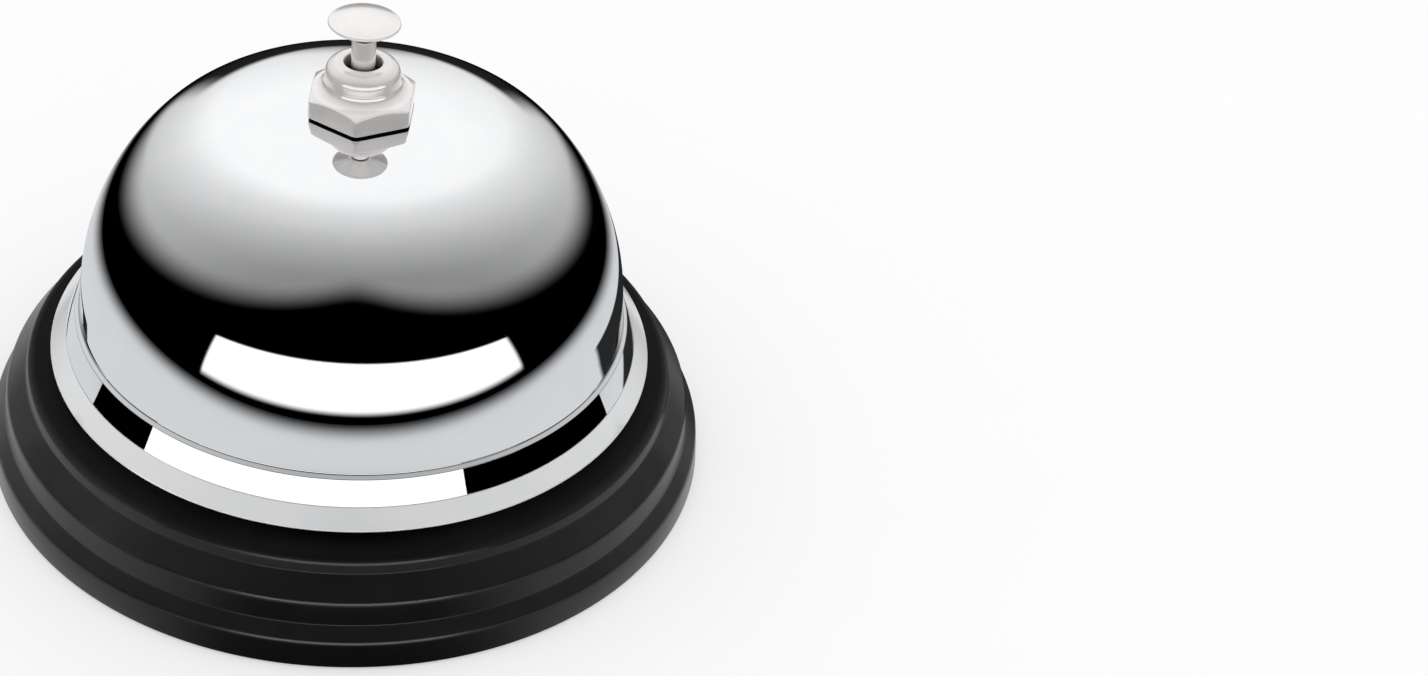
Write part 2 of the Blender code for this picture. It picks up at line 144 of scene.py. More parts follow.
PIN_RADIUS = 0.0010
LEVER_IN = 0.0103  # pivot to the tip under the rod
LEVER_OUT = 0.0197  # pivot to the lever's outer end
LEVER_WIDTH = 0.0060
LEVER_SHEET = 0.0012
TIP_RADIUS = 0.0008
BARREL_RADIUS = 0.0020
STRIKE_ANGLE = radians(-33.3)
SWING = 2.0 * asin(TRAVEL / 2.0 / LEVER_IN)
REST_ANGLE = STRIKE_ANGLE - SWING
HAMMER_AT = 0.0175  # pivot to the hammer's axis
HAMMER_RADIUS = 0.0032
HAMMER_HEIGHT = 0.0041

BIG_ROUND = 288  # segments of the gong and base
SMALL_ROUND = 120  # segments of the small turned pieces
DOME_ROUGHNESS = 0.018
CREVICE_SHADE_REACH = 0.0015  # how far ambient occlusion reaches when it paints shade into crevices
LATHE_RELIEF = 0.000004
FLANGE_HAZE = 0.12  # extra roughness of the rim flange
FLANGE_SATIN = 0.60  # how much of the flange scatters light instead of mirroring it
ENAMEL_ROUGHNESS = 0.24
FLAT_HAZE = 0.25  # extra roughness of the base's flat top
ENAMEL_GLOSS = 0.30  # specular level of the stepped side
FLAT_GLOSS = 0.03  # specular level of the flat top
STUDIO_WHITE = 1.0  # how bright the plain background looks


# ---------------------------------------------------------------- node helpers
class Graph:
    """Short calls for building one node tree."""

    def __init__(self, tree):
        self.tree = tree

    def node(self, kind, **settings):
        made = self.tree.nodes.new("ShaderNode" + kind)
        for key, value in settings.items():
            setattr(made, key, value)
        return made

    def feed(self, socket, value):
        if isinstance(value, bpy.types.NodeSocket):
            self.tree.links.new(value, socket)
        elif hasattr(value, "__len__") and len(value) == 3 and socket.type == "RGBA":
            socket.default_value = (*value, 1.0)
        else:
            socket.default_value = value

    def math(self, operation, *values):
        made = self.node("Math", operation=operation)
        for socket, value in zip(made.inputs, values):
            self.feed(socket, value)
        return made.outputs[0]

    def add(self, a, b):
        return self.math("ADD", a, b)

    def times(self, a, b):
        return self.math("MULTIPLY", a, b)

    def step(self, value, start, end, low=0.0, high=1.0):
        """A smooth step of the value from low at start to high at end."""
        made = self.node("MapRange", interpolation_type="SMOOTHSTEP")
        for socket, given in zip(made.inputs, (value, start, end, low, high)):
            self.feed(socket, given)
        return made.outputs[0]

    def mix(self, share, a, b):
        made = self.node("Mix", data_type="RGBA")
        colours = [s for s in made.inputs if s.type == "RGBA"]
        self.feed(made.inputs[0], share)
        self.feed(colours[0], a)
        self.feed(colours[1], b)
        return [s for s in made.outputs if s.type == "RGBA"][0]

    def blend(self, share, first, second):
        """A shader that goes from the first to the second as share goes from 0 to 1."""
        made = self.node("MixShader")
        for socket, value in zip(made.inputs, (share, first.outputs[0], second.outputs[0])):
            self.feed(socket, value)
        return made

    def ramp(self, value, stops):
        """Grey levels, as (position, level) pairs, blended smoothly along the value."""
        made = self.node("ValToRGB")
        made.color_ramp.interpolation = "B_SPLINE"
        elements = made.color_ramp.elements
        while len(elements) < len(stops):
            elements.new(0.5)
        for element, (position, level) in zip(elements, stops):
            element.position = position
            element.color = (level, level, level, 1.0)
        self.feed(made.inputs[0], value)
        return made.outputs[0]

    def split(self, vector):
        made = self.node("SeparateXYZ")
        self.feed(made.inputs[0], vector)
        return made.outputs

    def join(self, *values):
        made = self.node("CombineXYZ")
        for socket, value in zip(made.inputs, values):
            self.feed(socket, value)
        return made.outputs[0]

    def noise(self, vector, scale, detail=3.0, roughness=0.5):
        made = self.node("TexNoise")
        self.feed(made.inputs["Vector"], vector)
        made.inputs["Scale"].default_value = scale
        made.inputs["Detail"].default_value = detail
        made.inputs["Roughness"].default_value = roughness
        return made.outputs[0]


# ---------------------------------------------------------------- materials
def new_material(name):
    mat = bpy.data.materials.new(name)
    mat.use_nodes = True
    graph = Graph(mat.node_tree)
    shader = mat.node_tree.nodes["Principled BSDF"]
    place = graph.node("TexCoord").outputs["Object"]
    return mat, graph, shader, place


def edge_mask(graph, width):
    """1 on worn corners within about width of an edge, 0 on open faces."""
    rounded_normal = graph.node("Bevel", samples=4)
    rounded_normal.inputs["Radius"].default_value = width
    flat_normal = graph.node("NewGeometry").outputs["Normal"]
    dot = graph.node("VectorMath", operation="DOT_PRODUCT")
    graph.feed(dot.inputs[0], rounded_normal.outputs[0])
    graph.feed(dot.inputs[1], flat_normal)
    return graph.step(dot.outputs["Value"], 0.995, 0.93)


def bump(graph, shader, height, distance, strength=1.0):
    made = graph.node("Bump")
    made.inputs["Strength"].default_value = strength
    made.inputs["Distance"].default_value = distance
    graph.feed(made.inputs["Height"], height)
    graph.feed(shader.inputs["Normal"], made.outputs[0])


def lathe_marks(graph, place, axis_scale):
    """Fine rings round the Z axis, as left by turning and polishing."""
    x, y, z = graph.split(place)
    radius = graph.math("SQRT", graph.add(graph.times(x, x), graph.times(y, y)))
    turn = graph.times(graph.math("ARCTAN2", y, x), 0.00002)
    return graph.noise(graph.join(radius, turn, z), axis_scale, 4.0, 0.7)


def turned_metal(name, colour, roughness, marks=0.05, tarnish=0.12, metallic=1.0, crevice_shade=0.0):
    """A metal with lathe rings, cloudy tarnish, brighter corners and painted shade in its crevices."""
    mat, graph, shader, place = new_material(name)
    rings = lathe_marks(graph, place, 9000.0)
    clouds = graph.noise(place, 350.0, 4.0, 0.6)
    dark = tuple(c * (1.0 - tarnish) for c in colour)
    body = graph.mix(graph.step(clouds, 0.35, 0.65), colour, dark)
    worn = tuple(min(1.0, c * 1.08) for c in colour)
    body = graph.mix(edge_mask(graph, 0.0002), body, worn)
    # painted shade: where ambient occlusion finds a crevice or recess, the colour goes towards near black
    if crevice_shade:
        corner = graph.node("AmbientOcclusion", samples=8)
        corner.inputs["Distance"].default_value = CREVICE_SHADE_REACH
        deep = graph.step(corner.outputs["AO"], 0.58, 0.25)
        body = graph.mix(graph.times(deep, crevice_shade), body, (0.01, 0.01, 0.01))
    graph.feed(shader.inputs["Base Color"], body)
    rough = graph.add(graph.times(rings, marks), roughness - marks / 2.0)
    rough = graph.add(rough, graph.times(clouds, marks))
    graph.feed(shader.inputs["Roughness"], rough)
    shader.inputs["Metallic"].default_value = metallic
    bump(graph, shader, rings, LATHE_RELIEF)
    return mat


def chrome_material():
    """Mirror chrome on the dome, wall and band, a satin finish on the rim flange below them."""
    mat, graph, shader, place = new_material("polished_chrome")
    z = graph.split(place)[2]
    haze = graph.noise(place, 260.0, 4.0, 0.6)
    rings = lathe_marks(graph, place, 14000.0)
    flange = graph.step(z, BAND_END[1] + 0.0001, BAND_END[1] - 0.0001)
    rough = graph.add(graph.times(flange, FLANGE_HAZE), DOME_ROUGHNESS)
    rough = graph.add(rough, graph.times(haze, 0.006))
    graph.feed(shader.inputs["Roughness"], graph.add(rough, graph.times(rings, 0.004)))
    tint = graph.mix(graph.step(haze, 0.4, 0.6), (0.945, 0.950, 0.958), (0.930, 0.938, 0.950))
    graph.feed(shader.inputs["Base Color"], tint)
    graph.feed(shader.inputs["Metallic"], graph.add(graph.times(flange, -FLANGE_SATIN), 1.0))
    return mat


def enamel_material():
    """Satin black enamel, matte on the flat top: orange peel, dust specks, corners rubbed brighter."""
    mat, graph, shader, place = new_material("black_enamel")
    z = graph.split(place)[2]
    flat_top = graph.step(z, BASE_TOP - 0.0008, BASE_TOP - 0.0001)
    peel = graph.noise(place, 1100.0, 2.0, 0.4)
    cloud = graph.noise(place, 120.0, 4.0, 0.6)
    specks = graph.step(graph.noise(place, 5200.0, 2.0, 0.6), 0.66, 0.74)
    black = graph.mix(graph.step(cloud, 0.35, 0.65), (0.0036, 0.0036, 0.0038), (0.0044, 0.0044, 0.0046))
    black = graph.mix(graph.times(specks, 0.2), black, (0.020, 0.020, 0.022))
    black = graph.mix(graph.times(edge_mask(graph, 0.0005), 0.5), black, (0.020, 0.020, 0.022))
    graph.feed(shader.inputs["Base Color"], black)
    rough = graph.add(graph.times(cloud, 0.10), ENAMEL_ROUGHNESS - 0.05)
    graph.feed(shader.inputs["Roughness"], graph.add(rough, graph.times(flat_top, FLAT_HAZE)))
    gloss = graph.add(graph.times(flat_top, FLAT_GLOSS - ENAMEL_GLOSS), ENAMEL_GLOSS)
    graph.feed(shader.inputs["Specular IOR Level"], gloss)
    bump(graph, shader, peel, 0.000010)
    return mat


def zinc_material():
    """Dull zinc plate: small angular spangle, patchy roughness, rubbed edges."""
    mat, graph, shader, place = new_material("zinc_plate")
    spangle = graph.node("TexVoronoi")
    spangle.inputs["Scale"].default_value = 1500.0
    graph.feed(spangle.inputs["Vector"], place)
    cell = graph.math("FRACT", graph.times(spangle.outputs["Distance"], 7.0))
    cloud = graph.noise(place, 300.0, 4.0, 0.6)
    tone = graph.add(graph.times(cell, 0.35), graph.times(cloud, 0.65))
    body = graph.mix(graph.step(tone, 0.2, 0.8), (0.52, 0.54, 0.56), (0.66, 0.67, 0.66))
    body = graph.mix(edge_mask(graph, 0.0002), body, (0.75, 0.76, 0.77))
    graph.feed(shader.inputs["Base Color"], body)
    graph.feed(shader.inputs["Roughness"], graph.add(graph.times(tone, 0.22), 0.24))
    shader.inputs["Metallic"].default_value = 1.0
    bump(graph, shader, tone, 0.000012)
    return mat


def rubber_material():
    mat, graph, shader, place = new_material("black_rubber")
    grain = graph.noise(place, 4500.0, 3.0, 0.6)
    dust = graph.step(graph.noise(place, 500.0, 5.0, 0.7), 0.45, 0.75)
    body = graph.mix(graph.times(dust, 0.3), (0.016, 0.016, 0.016), (0.075, 0.073, 0.070))
    graph.feed(shader.inputs["Base Color"], body)
    graph.feed(shader.inputs["Roughness"], graph.add(graph.times(grain, 0.2), 0.65))
    bump(graph, shader, grain, 0.00003)
    return mat


def fibre_material():
    """Red vulcanised fibre: long dark and pale strands in the sheet."""
    mat, graph, shader, place = new_material("red_fibre")
    x, y, z = graph.split(place)
    strands = graph.noise(graph.join(graph.times(x, 6.0), y, graph.times(z, 6.0)), 900.0, 5.0, 0.7)
    body = graph.mix(graph.step(strands, 0.3, 0.7), (0.20, 0.030, 0.018), (0.38, 0.075, 0.045))
    graph.feed(shader.inputs["Base Color"], body)
    graph.feed(shader.inputs["Roughness"], graph.add(graph.times(strands, 0.2), 0.6))
    bump(graph, shader, strands, 0.00002)
    return mat


# ---------------------------------------------------------------- mesh helpers
def add(name, data):
    obj = bpy.data.objects.new(name, data)
    bpy.context.scene.collection.objects.link(obj)
    return obj


def bake(obj):
    """Turn the object's modifiers into plain mesh."""
    bpy.context.view_layer.update()
    evaluated = obj.evaluated_get(bpy.context.evaluated_depsgraph_get())
    mesh = bpy.data.meshes.new_from_object(evaluated)
    obj.modifiers.clear()
    obj.data = mesh
    return obj


def arc(centre, radius, start, end, steps):
    """Points on an arc in the (radius, z) plane; angles run from +Z towards the outside."""
    angles = [start + (end - start) * i / steps for i in range(steps + 1)]
    return [(centre[0] + radius * sin(a), centre[1] + radius * cos(a)) for a in angles]


def rounded(corners, radii, steps=6):
    """A polyline whose inner corners are turned into arcs of the given radii."""
    points = [tuple(corners[0])]
    for before, corner, after, radius in zip(corners, corners[1:], corners[2:], radii):
        corner = Vector(corner)
        back = (Vector(before) - corner).normalized()
        ahead = (Vector(after) - corner).normalized()
        half = back.angle(ahead) / 2.0
        centre = corner + (back + ahead).normalized() * radius / sin(half)
        first = corner + back * radius / tan(half) - centre
        last = corner + ahead * radius / tan(half) - centre
        for i in range(steps + 1):
            points.append(tuple(centre + first.lerp(last, i / steps).normalized() * radius))
    points.append(tuple(corners[-1]))
    return points


def ring_outline(corners, radii, steps=4):
    """A closed outline with every corner rounded, for a ring turned as a loop."""
    closed = [corners[-1], *corners, corners[0]]
    return rounded(closed, radii, steps)[1:-1]


def turned(name, profile, steps, loop=False):
    """Revolve (radius, z) points about Z. They run down the outer side; a loop comes back up inside."""
    mesh = bpy.data.meshes.new(name)
    edges = [(i, i + 1) for i in range(len(profile) - 1)]
    if loop:
        edges.append((len(profile) - 1, 0))
    mesh.from_pydata([(r, 0.0, z) for r, z in profile], edges, [])
    obj = add(name, mesh)
    screw = obj.modifiers.new("turn", "SCREW")
    screw.steps = steps
    screw.render_steps = steps
    screw.use_merge_vertices = True
    screw.merge_threshold = 0.000001
    return obj


def solidify(obj, thickness, offset):
    mod = obj.modifiers.new("sheet", "SOLIDIFY")
    mod.thickness = thickness
    mod.offset = offset
    mod.use_even_offset = True
    mod.use_quality_normals = True


def bevel(obj, width, segments=3, angle=radians(50.0)):
    mod = obj.modifiers.new("edges", "BEVEL")
    mod.width = width
    mod.segments = segments
    mod.limit_method = "ANGLE"
    mod.angle_limit = angle
    mod.use_clamp_overlap = True


def cut(obj, other, operation="DIFFERENCE"):
    """Apply a Boolean with another object, which is used up."""
    mod = obj.modifiers.new("cut", "BOOLEAN")
    mod.operation = operation
    mod.object = other
    mod.solver = "EXACT"
    bake(obj)
    bpy.data.objects.remove(other, do_unlink=True)


def cylinder(name, radius, length, centre, axis="Z", segments=64):
    """A closed cylinder with its middle at centre, along one world axis."""
    half = length / 2.0
    profile = [(0.0, half), (radius, half), (radius, -half), (0.0, -half)]
    obj = bake(turned(name, profile, segments))
    if axis == "X":
        obj.data.transform(Matrix.Rotation(pi / 2.0, 4, "Y"))
    obj.data.transform(Matrix.Translation(centre))
    return obj


def strip(name, path, low_side, high_side, along):
    """A bent strip: a path of (across, up) points swept from side to side along X or Y."""
    mesh = bpy.data.meshes.new(name)
    verts = []
    for across, up in path:
        for side in (low_side, high_side):
            verts.append((side, across, up) if along == "X" else (across, side, up))
    faces = [(2 * i, 2 * i + 1, 2 * i + 3, 2 * i + 2) for i in range(len(path) - 1)]
    mesh.from_pydata(verts, [], faces)
    return add(name, mesh)


def pull_to_hex(obj, corner_radius, turn, top):
    """Draw a turned outline in to a hexagon below top, leaving softly rounded corners."""
    flat = corner_radius * cos(pi / 6.0)
    power = 90.0  # how tightly the corners are rounded
    for vertex in obj.data.vertices:
        x, y, z = vertex.co
        radius = hypot(x, y)
        if z > top or radius < flat * 0.9:
            continue
        angle = (atan2(y, x) - pi / 2.0 - turn) % (pi / 3.0) - pi / 6.0
        limit = flat / cos(angle)
        drawn = (radius**-power + limit**-power) ** (-1.0 / power)
        vertex.co.x *= drawn / radius
        vertex.co.y *= drawn / radius


def cut_thread(obj, start, end):
    """Sink a helical groove into the post's outside between two heights."""
    for vertex in obj.data.vertices:
        x, y, z = vertex.co
        radius = hypot(x, y)
        if abs(radius - POST_RADIUS) > 0.00002 or not start <= z <= end:
            continue
        phase = (z / THREAD_PITCH - atan2(y, x) / (2.0 * pi)) % 1.0
        groove = 1.0 - abs(2.0 * phase - 1.0)
        fade = min(1.0, (z - start) / THREAD_PITCH, (end - z) / THREAD_PITCH)
        drawn = radius - THREAD_DEPTH * groove * max(0.0, fade)
        vertex.co.x *= drawn / radius
        vertex.co.y *= drawn / radius


def stand_for(obj, node, body, mat, sharp=38.0):
    """Finish a piece: plain mesh, one material, shading split at hard corners, joined to the frame."""
    bake(obj)
    mesh = obj.data
    mesh.materials.clear()
    mesh.materials.append(mat)
    mesh.shade_smooth()
    mesh.set_sharp_from_angle(angle=radians(sharp))
    obj.name = "fine_" + node
    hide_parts(node)
    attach(obj, body)
    return obj


# ---------------------------------------------------------------- base
def make_base(mat):
    """Stamped base: flat top, three rounded risers with sloping ledges, open underneath."""
    edge = 0.0011
    foot = 0.00015
    corners = [
        (0.0, BASE_TOP),
        (BASE_RADIUS - 0.0046, BASE_TOP),
        (BASE_RADIUS - 0.0043, 0.0102),
        (BASE_RADIUS - 0.0020, 0.0077),
        (BASE_RADIUS - 0.0017, 0.0050),
        (BASE_RADIUS - 0.0003, 0.0034),
        (BASE_RADIUS, FOOT_Z),
    ]
    profile = rounded(corners, (edge, foot, edge, foot, edge), steps=8)
    base = turned("base", profile, BIG_ROUND)
    solidify(base, BASE_SHEET, -1.0)
    bake(base)
    bevel(base, 0.00018, 3, radians(60.0))
    bake(base)
    for x, y in rivet_places():
        cut(base, cylinder("rivet_hole", RIVET_SHANK + GAP, 0.006, (x, y, BASE_TOP)))
    return stand_for(base, "base_shell", "housing", mat)


def make_ring(mat):
    """Moulded rubber ring with shallow tread grooves in its underside."""
    inner = RING_OUTER - RING_WIDTH
    soft = 0.00025
    corners = [
        (inner + 0.0004, RING_TOP),
        (RING_OUTER, RING_TOP),
        (RING_OUTER, 0.0),
    ]
    radii = [soft, soft, soft]
    grooves = 3
    pitch = (RING_WIDTH - 0.0004) / grooves
    depth = 0.00022
    for i in range(1, grooves):
        at = RING_OUTER - i * pitch
        corners += [(at + 0.00014, 0.0), (at + 0.00006, depth), (at - 0.00006, depth), (at - 0.00014, 0.0)]
        radii += [0.00004] * 4
    corners += [(inner + 0.0004, 0.0), (inner, 0.0004), (inner, RING_TOP - 0.0004)]
    radii += [soft / 2.0] * 3
    ring = turned("ring", ring_outline(corners, radii), BIG_ROUND, loop=True)
    return stand_for(ring, "non_slip_ring", "housing", mat)


def rivet_places():
    return [(x, y) for x in (-RIVET_X, RIVET_X) for y in RIVET_YS]


# ---------------------------------------------------------------- striker frame
def make_frame(mat):
    """Inverted U of bent strip: two feet, two legs and a top plate that carries the post."""
    foot_z = FRAME_LOW.z + FRAME_SHEET / 2.0
    top_z = FRAME_HIGH.z - FRAME_SHEET / 2.0
    foot_x = FRAME_HIGH.x
    corners = [
        (-foot_x, foot_z),
        (-FRAME_LEG_X, foot_z),
        (-FRAME_LEG_X, top_z),
        (FRAME_LEG_X, top_z),
        (FRAME_LEG_X, foot_z),
        (foot_x, foot_z),
    ]
    path = rounded(corners, (FRAME_BEND,) * 4, steps=10)
    body = strip("frame", path, FRAME_LOW.y, FRAME_HIGH.y, "Y")
    solidify(body, FRAME_SHEET, 0.0)
    bevel(body, 0.00018, 3)
    cut(body, cylinder("post_hole", POST_RADIUS + GAP, 0.006, (0, 0, top_z)))
    cut(body, cylinder("pin_hole", PIN_RADIUS + GAP, 0.030, PIVOT, axis="X"))
    for x, y in rivet_places():
        cut(body, cylinder("foot_hole", RIVET_SHANK + GAP, 0.004, (x, y, foot_z)))
    return stand_for(body, "bridge_frame", "housing", mat)


def make_rivets(mat):
    """Round-headed rivets through a foot and the base's top, spread flat underneath."""
    for index, (x, y) in enumerate(rivet_places(), 1):
        node = f"frame_rivet_{index}"
        lowest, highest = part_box(node)
        head = (highest.x - lowest.x) / 2.0
        head_z = FRAME_LOW.z + FRAME_SHEET + GAP
        dome = highest.z - head_z
        tail = head * 0.79
        sphere = (head**2 + dome**2) / (2.0 * dome)
        tail_z = lowest.z + 0.0008
        profile = arc((0.0, head_z + dome - sphere), sphere, 0.0, asin(head / sphere), 12)
        profile += [
            (head - 0.0001, head_z),
            (RIVET_SHANK, head_z),
            (RIVET_SHANK, tail_z),
            (tail, tail_z - 0.0001),
        ]
        profile += arc((tail * 0.8, tail_z - 0.0004), 0.0004, pi / 2.0, pi, 4)
        profile.append((0.0, lowest.z))
        rivet = turned("rivet", profile, 64)
        rivet.location = (x, y, 0.0)
        stand_for(rivet, node, "housing", mat)


# ---------------------------------------------------------------- post and its nuts
def make_post(mat):
    """Hollow post with a rolled thread either side of its flange."""
    flange_bottom = FRAME_HIGH.z + GAP
    flange_top = flange_bottom + 0.0011
    flange_radius = high("centre_post").x
    rows = 8  # rows of points in one thread

    def side(start, end):
        count = int(abs(start - end) / THREAD_PITCH * rows)
        return [(POST_RADIUS, start + (end - start) * i / count) for i in range(count + 1)]

    flange = rounded(
        [
            (POST_RADIUS, flange_top),
            (flange_radius, flange_top),
            (flange_radius, flange_bottom),
            (POST_RADIUS, flange_bottom),
        ],
        (0.0002, 0.0002),
        steps=3,
    )
    profile = [(POST_BORE + 0.0001, POST_TOP), (POST_RADIUS - 0.0002, POST_TOP)]
    profile += side(POST_TOP - 0.0002, flange_top)[:-1]
    profile += flange
    profile += side(flange_bottom, POST_BOTTOM + 0.0002)[1:]
    profile += [
        (POST_RADIUS - 0.0002, POST_BOTTOM),
        (POST_GUIDE_BORE, POST_BOTTOM),
        (POST_GUIDE_BORE, SPRING_SEAT_Z),
        (POST_BORE, SPRING_SEAT_Z),
        (POST_BORE, POST_TOP - 0.0001),
    ]
    post = bake(turned("post", profile, 96, loop=True))
    cut_thread(post, flange_top + 0.0001, POST_TOP)
    cut_thread(post, POST_BOTTOM, flange_bottom - 0.0001)
    return stand_for(post, "centre_post", "housing", mat)


def make_nut(node, turn, mat):
    """Plain hexagon nut, chamfered above and below, with countersunk thread mouths."""
    bottom = low(node).z
    top = high(node).z
    flat = NUT_RADIUS * cos(pi / 6.0)
    drop = (NUT_RADIUS - flat) * tan(CHAMFER_SLOPE)
    bore = POST_RADIUS + GAP
    mouth = 0.00025
    outer = hex_side(NUT_RADIUS, flat, bottom, top, drop)
    profile = [(bore + mouth, top), *outer, (bore + mouth, bottom)]
    profile += [(bore, bottom + mouth), (bore, top - mouth)]
    nut = bake(turned(node, profile, 240, loop=True))
    pull_to_hex(nut, NUT_RADIUS, turn, 1.0)
    return stand_for(nut, node, "housing", mat)


def hex_side(corner, flat, bottom, top, drop, rows=6):
    """Outer outline of a chamfered nut before it is drawn in to a hexagon, with rows to bend at."""
    inner = flat - 0.0001
    chamfer_top = [(inner + (corner - inner) * i / rows, top - drop * i / rows) for i in range(rows + 1)]
    chamfer_bottom = [(r, bottom + top - z) for r, z in reversed(chamfer_top)]
    high_z = chamfer_top[-1][1]
    low_z = chamfer_bottom[0][1]
    straight = [(corner, high_z + (low_z - high_z) * i / rows) for i in range(1, rows)]
    return chamfer_top + straight + chamfer_bottom


def make_washer(node, inner, outer):
    bottom = low(node).z
    top = high(node).z
    soft = (top - bottom) * 0.22
    corners = [(inner, top), (outer, top), (outer, bottom), (inner, bottom)]
    return turned(node, ring_outline(corners, (soft,) * 4), SMALL_ROUND, loop=True)


def make_washers(steel, fibre):
    """Split spring washer under the frame's top plate, and a fibre washer under the gong."""
    inner = POST_RADIUS + GAP
    ring = bake(make_washer("post_lock_washer", inner, LOCK_WASHER_RADIUS))
    split = cylinder("split", 0.00035, 0.004, (0, 0, 0), segments=4)
    split.data.transform(Matrix.Diagonal((4.8, 1.0, 1.0, 1.0)))
    split.data.transform(Matrix.Translation((0.0042, 0.0, high("post_lock_washer").z)))
    cut(ring, split)
    stand_for(ring, "post_lock_washer", "housing", steel)
    disc = make_washer("gong_washer", inner, high("gong_washer").x)
    stand_for(disc, "gong_washer", "housing", fibre)


# ---------------------------------------------------------------- gong and cap nut
def pressed_side(inset):
    """A face of the gong's sheet from its centre hole down to the flare, inset from the outer one."""
    start = asin(SEAT_RADIUS / CROWN_RADIUS)
    centre = Vector((0.0, SEAT_Z - CROWN_RADIUS * cos(start)))
    points = [(POST_RADIUS + 2.0 * GAP, SEAT_Z - inset)]
    points += arc(centre, CROWN_RADIUS - inset, start, CROWN_END, 16)
    radius = CROWN_RADIUS
    for next_radius, begin, end in (
        (SHOULDER_RADIUS, CROWN_END, SHOULDER_END),
        (SIDE_RADIUS, SHOULDER_END, FLARE_START),
    ):
        centre += (radius - next_radius) * Vector((sin(begin), cos(begin)))
        radius = next_radius
        points += arc(centre, radius - inset, begin, end, 32)[1:]
    centre += (radius + FLARE_RADIUS) * Vector((sin(FLARE_START), cos(FLARE_START)))
    points += arc(centre, -FLARE_RADIUS - inset, FLARE_START, FLARE_END, 12)[1:]
    return points


def inset_corners(corners, inset):
    """The inner line of a sheet bent at these corners; its ends are square to the outer line."""
    corners = [Vector(corner) for corner in corners]
    ways = [(b - a).normalized() for a, b in zip(corners, corners[1:])]
    inner = []
    for corner, before, after in zip(corners, [ways[0], *ways], [*ways, ways[-1]]):
        inward = Vector((before.y, -before.x)) + Vector((after.y, -after.x))
        half = before.angle(after) / 2.0
        inner.append(tuple(corner + inward.normalized() * inset / cos(half)))
    return inner


def make_gong(mat):
    """Pressed gong: three-arc dome, nearly upright wall, ledge, raised band and outer flange."""
    outer = pressed_side(0.0)
    inner = pressed_side(GONG_SHEET)
    bends = [outer[-2], outer[-1], BAND_START, BAND_END, LIP]
    under = inset_corners(bends, GONG_SHEET)
    corners = bends + under[:0:-1] + [inner[-2]]
    radii = (0.00030, 0.00016, 0.00030, 0.00018, 0.00018, 0.0006, 0.0004, 0.0009)
    rim = rounded(corners, radii, steps=8)
    profile = outer[:-1] + rim[1:-1] + inner[-2::-1]
    gong = turned("gong", profile, BIG_ROUND, loop=True)
    return stand_for(gong, "bell_gong", "housing", mat, sharp=60.0)


def make_cap_nut(mat):
    """Hexagon nut drawn out above into a round tubular cap with a hole for the rod."""
    hex_top = CAP_BOTTOM + CAP_HEX_HEIGHT
    flat = CAP_HEX_RADIUS * cos(pi / 6.0)
    drop = (CAP_HEX_RADIUS - flat) * tan(CHAMFER_SLOPE)
    bore = POST_RADIUS + GAP
    mouth = 0.00015
    shoulder = 0.0015
    fillet = 0.0013
    edge = 0.0001
    outer = rounded(
        [
            (CAP_HOLE, CAP_TOP - mouth),
            (CAP_HOLE + mouth, CAP_TOP),
            (CAP_TUBE_RADIUS, CAP_TOP),
            (CAP_TUBE_RADIUS, hex_top),
            (flat - edge, hex_top),
        ],
        (0.00008, shoulder, fillet),
        steps=12,
    )
    chamfered = hex_side(CAP_HEX_RADIUS, flat, CAP_BOTTOM, hex_top, drop, rows=10)
    side = [(r, z) for r, z in chamfered if z > CAP_BOTTOM + drop]  # only the top is chamfered
    side += [
        (CAP_HEX_RADIUS, CAP_BOTTOM + edge),
        (CAP_HEX_RADIUS - edge, CAP_BOTTOM),
        (flat - edge, CAP_BOTTOM),
    ]
    inside = [
        (bore + 0.0004, CAP_BOTTOM),
        (bore, CAP_BOTTOM + 0.0004),
        (bore, CAP_CEILING),
        (CAP_HOLE, CAP_CEILING),
    ]
    profile = outer[:-1] + side + inside
    cap = bake(turned("cap", profile, 240, loop=True))
    pull_to_hex(cap, CAP_HEX_RADIUS, CAP_HEX_TURN, hex_top + 0.00001)
    return stand_for(cap, "cap_nut", "housing", mat, sharp=45.0)


# ---------------------------------------------------------------- plunger
def make_rod(mat):
    collar_top = CAP_CEILING - GAP
    collar_bottom = collar_top - ROD_COLLAR_HEIGHT
    spigot = ROD_STEM_RADIUS - 0.0001
    lowest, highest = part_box("plunger_rod")
    corners = [
        (0.0, highest.z),
        (spigot, highest.z),
        (spigot, ROD_SHOULDER_Z),
        (ROD_RADIUS, ROD_SHOULDER_Z),
        (ROD_RADIUS, collar_top),
        (ROD_COLLAR_RADIUS, collar_top),
        (ROD_COLLAR_RADIUS, collar_bottom),
        (ROD_STEM_RADIUS, collar_bottom),
        (ROD_STEM_RADIUS, lowest.z),
        (0.0, lowest.z),
    ]
    soft = 0.00012
    radii = (soft, soft, soft, 0.0002, soft, soft, soft, 0.0004)
    rod = turned("rod", rounded(corners, radii, steps=4), SMALL_ROUND)
    return stand_for(rod, "plunger_rod", "plunger", mat)


def make_button(mat):
    """Domed button with a rolled rim, dished underneath to a short hub over the rod."""
    rim_z = BUTTON_TOP - BUTTON_CROWN
    sphere = (BUTTON_RADIUS**2 + BUTTON_CROWN**2) / (2.0 * BUTTON_CROWN)
    rim = 0.00022
    reach = BUTTON_RADIUS - rim
    bore = ROD_STEM_RADIUS - 0.0001 + GAP
    hub = ROD_RADIUS + 0.0002
    hub_bottom = low("push_button").z
    profile = arc((0.0, BUTTON_TOP - sphere), sphere, 0.0, asin(reach / sphere), 24)
    centre = (reach, profile[-1][1] - rim)
    profile += arc(centre, rim, asin(reach / sphere), radians(165.0), 10)
    under = [
        profile[-1],
        (hub + 0.0007, rim_z - 0.0011),
        (hub, hub_bottom + 0.0003),
        (hub, hub_bottom),
        (bore, hub_bottom),
    ]
    profile += rounded(under, (0.0010, 0.0002, 0.00008), steps=5)[1:]
    profile += [(bore, rim_z), (0.0, rim_z)]
    button = turned("button", profile, 192)
    return stand_for(button, "push_button", "plunger", mat, sharp=50.0)


